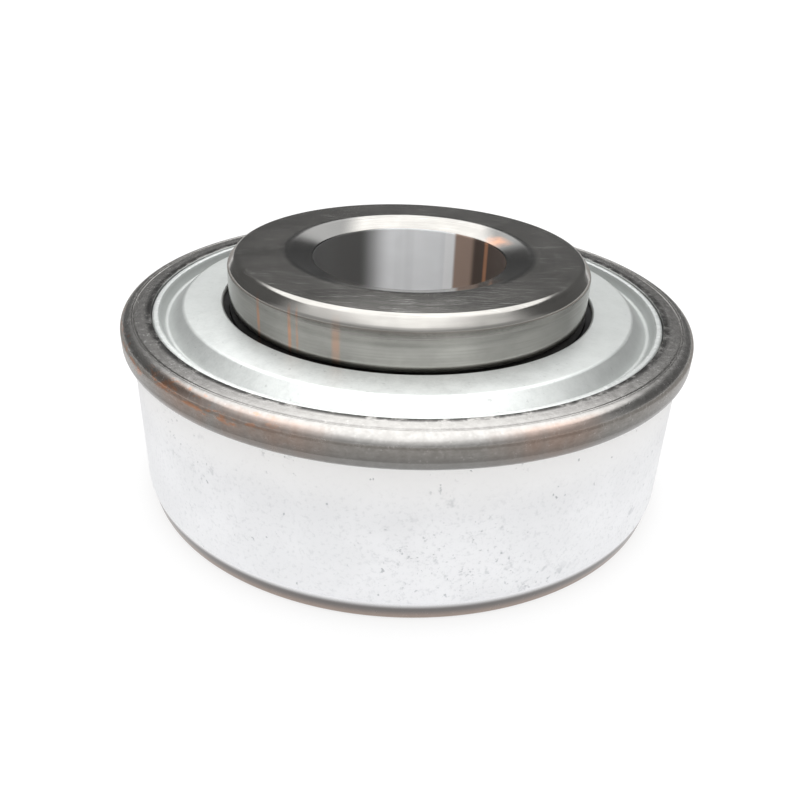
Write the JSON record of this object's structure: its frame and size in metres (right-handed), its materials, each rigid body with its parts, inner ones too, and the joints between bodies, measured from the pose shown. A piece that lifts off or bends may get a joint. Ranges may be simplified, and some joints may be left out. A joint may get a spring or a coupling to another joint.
{
  "type": "insert bearing",
  "caption": "Sealed ball insert bearing with a flanged outer ring, pressed steel shields and a thick extended inner ring with a plain round bore.",
  "frame": {"origin": "centre of the outer ring's lower face, which the bearing stands on", "axes": "+Z along the bearing's axis, towards the flange and the extended end of the inner ring; X and Y are free, because the rings are round"},
  "size_m": [0.0562, 0.0562, 0.0234],
  "materials": {
    "outer_steel": "ground and pale, with a darker rolled flange",
    "inner_steel": "ground, with fine grinding marks",
    "shield_zinc": "satin zinc plating",
    "seal_rubber": "matt black",
    "cage_steel": "pressed strip",
    "ball_steel": "polished",
    "rivet_steel": "plain"
  },
  "bodies": {
    "outer": {"outer_ring": "outer_steel", "upper_shield": "shield_zinc", "lower_shield": "shield_zinc", "upper_seal": "seal_rubber", "lower_seal": "seal_rubber"},
    "inner": {"inner_ring": "inner_steel"},
    "cage": {"cage_upper": "cage_steel", "cage_lower": "cage_steel", "rivet_1": "rivet_steel", "rivet_2": "rivet_steel", "rivet_3": "rivet_steel", "rivet_4": "rivet_steel", "rivet_5": "rivet_steel", "rivet_6": "rivet_steel", "rivet_7": "rivet_steel", "rivet_8": "rivet_steel", "rivet_9": "rivet_steel"},
    "roller_1": {"ball_1": "ball_steel"},
    "roller_2": {"ball_2": "ball_steel"},
    "roller_3": {"ball_3": "ball_steel"},
    "roller_4": {"ball_4": "ball_steel"},
    "roller_5": {"ball_5": "ball_steel"},
    "roller_6": {"ball_6": "ball_steel"},
    "roller_7": {"ball_7": "ball_steel"},
    "roller_8": {"ball_8": "ball_steel"},
    "roller_9": {"ball_9": "ball_steel"}
  },
  "joints": [
    {"name": "inner_ring_spin", "type": "hinge", "parent": "outer", "child": "inner", "pos_m": [0, 0, 0.00925], "axis": [0, 0, 1], "continuous": true},
    {"name": "cage_orbit", "type": "hinge", "parent": "outer", "child": "cage", "pos_m": [0, 0, 0.00925], "axis": [0, 0, 1], "continuous": true},
    {"name": "ball_1_spin", "type": "hinge", "parent": "cage", "child": "roller_1", "pos_m": [0.01555, 0.01305, 0.00925], "axis": [0, 0, 1], "continuous": true},
    {"name": "ball_2_spin", "type": "hinge", "parent": "cage", "child": "roller_2", "pos_m": [0.00352, 0.01999, 0.00925], "axis": [0, 0, 1], "continuous": true},
    {"name": "ball_3_spin", "type": "hinge", "parent": "cage", "child": "roller_3", "pos_m": [-0.01015, 0.01758, 0.00925], "axis": [0, 0, 1], "continuous": true},
    {"name": "ball_4_spin", "type": "hinge", "parent": "cage", "child": "roller_4", "pos_m": [-0.01908, 0.00694, 0.00925], "axis": [0, 0, 1], "continuous": true},
    {"name": "ball_5_spin", "type": "hinge", "parent": "cage", "child": "roller_5", "pos_m": [-0.01908, -0.00694, 0.00925], "axis": [0, 0, 1], "continuous": true},
    {"name": "ball_6_spin", "type": "hinge", "parent": "cage", "child": "roller_6", "pos_m": [-0.01015, -0.01758, 0.00925], "axis": [0, 0, 1], "continuous": true},
    {"name": "ball_7_spin", "type": "hinge", "parent": "cage", "child": "roller_7", "pos_m": [0.00352, -0.01999, 0.00925], "axis": [0, 0, 1], "continuous": true},
    {"name": "ball_8_spin", "type": "hinge", "parent": "cage", "child": "roller_8", "pos_m": [0.01555, -0.01305, 0.00925], "axis": [0, 0, 1], "continuous": true},
    {"name": "ball_9_spin", "type": "hinge", "parent": "cage", "child": "roller_9", "pos_m": [0.0203, 0, 0.00925], "axis": [0, 0, 1], "continuous": true}
  ],
  "couplings": [
    {"joint": "cage_orbit", "follows": "inner_ring_spin", "ratio": 0.40224},
    {"joint": "ball_1_spin", "follows": "inner_ring_spin", "ratio": -2.4596},
    {"joint": "ball_2_spin", "follows": "inner_ring_spin", "ratio": -2.4596},
    {"joint": "ball_3_spin", "follows": "inner_ring_spin", "ratio": -2.4596},
    {"joint": "ball_4_spin", "follows": "inner_ring_spin", "ratio": -2.4596},
    {"joint": "ball_5_spin", "follows": "inner_ring_spin", "ratio": -2.4596},
    {"joint": "ball_6_spin", "follows": "inner_ring_spin", "ratio": -2.4596},
    {"joint": "ball_7_spin", "follows": "inner_ring_spin", "ratio": -2.4596},
    {"joint": "ball_8_spin", "follows": "inner_ring_spin", "ratio": -2.4596},
    {"joint": "ball_9_spin", "follows": "inner_ring_spin", "ratio": -2.4596}
  ]
}
